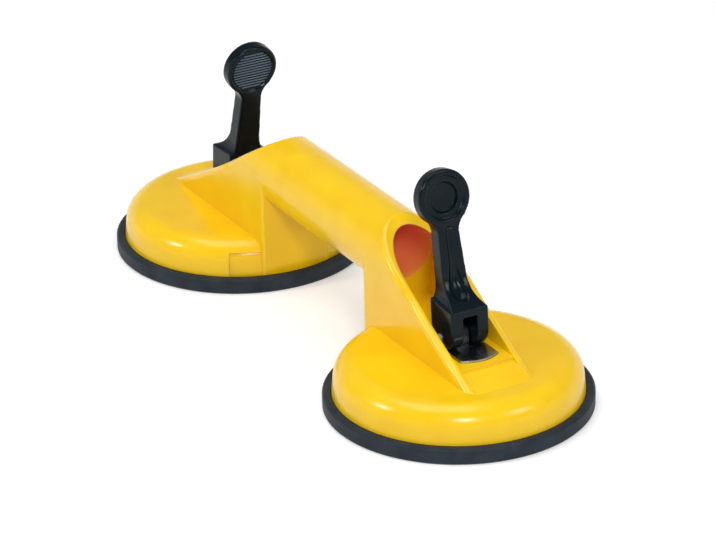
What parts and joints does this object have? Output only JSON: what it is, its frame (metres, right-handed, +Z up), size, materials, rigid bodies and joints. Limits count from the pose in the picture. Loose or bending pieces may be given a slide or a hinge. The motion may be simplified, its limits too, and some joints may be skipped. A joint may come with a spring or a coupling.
{
  "type": "double-cup suction lifter",
  "caption": "Hand lifter for smooth tiles and sheets: a tubular handle joins two domed rubber suction cups, each clamped by a flip-over cam lever.",
  "frame": {"origin": "midpoint between the two cups on the plane that the rubber pads stand on", "axes": "+X along the handle towards the right cup, +Y across, +Z up; levers released (upright), pads flat"},
  "size_m": [0.3162, 0.118, 0.105],
  "materials": {
    "housing_yellow": "glossy moulded yellow plastic",
    "pad_rubber": "matte black rubber",
    "lever_black": "satin black plastic",
    "wear_steel": "polished steel",
    "pin_steel": "bright ground steel",
    "zinc_steel": "zinc plated steel"
  },
  "bodies": {
    "frame": {"handle_body": "housing_yellow", "suction_disc_right": "pad_rubber", "suction_disc_left": "pad_rubber", "wear_plate_right": "wear_steel", "wear_plate_left": "wear_steel"},
    "carriage_right": {"pull_stem_right": "zinc_steel", "jam_nut_right": "zinc_steel", "insert_boss_right": "zinc_steel", "insert_plate_right": "zinc_steel"},
    "lever_right_body": {"lever_right": "lever_black", "pivot_pin_right": "pin_steel"},
    "carriage_left": {"pull_stem_left": "zinc_steel", "jam_nut_left": "zinc_steel", "insert_boss_left": "zinc_steel", "insert_plate_left": "zinc_steel"},
    "lever_left_body": {"lever_left": "lever_black", "pivot_pin_left": "pin_steel"}
  },
  "joints": [
    {"name": "pad_lift_right", "type": "slide", "parent": "frame", "child": "carriage_right", "axis": [0, 0, 1], "range_m": [0, 0.00752], "deforming": ["suction_disc_right"]},
    {"name": "lever_fold_right", "type": "hinge", "parent": "carriage_right", "child": "lever_right_body", "pos_m": [0.0991, 0, 0.03323], "axis": [0, 1, 0], "range_deg": [0, 94]},
    {"name": "pad_lift_left", "type": "slide", "parent": "frame", "child": "carriage_left", "axis": [0, 0, 1], "range_m": [0, 0.00752], "deforming": ["suction_disc_left"]},
    {"name": "lever_fold_left", "type": "hinge", "parent": "carriage_left", "child": "lever_left_body", "pos_m": [-0.0991, 0, 0.03323], "axis": [0, -1, 0], "range_deg": [0, 94]}
  ],
  "couplings": [
    {"joint": "lever_fold_right", "follows": "pad_lift_right", "rad_per_m": 218.2},
    {"joint": "lever_fold_left", "follows": "pad_lift_left", "rad_per_m": 218.2}
  ]
}
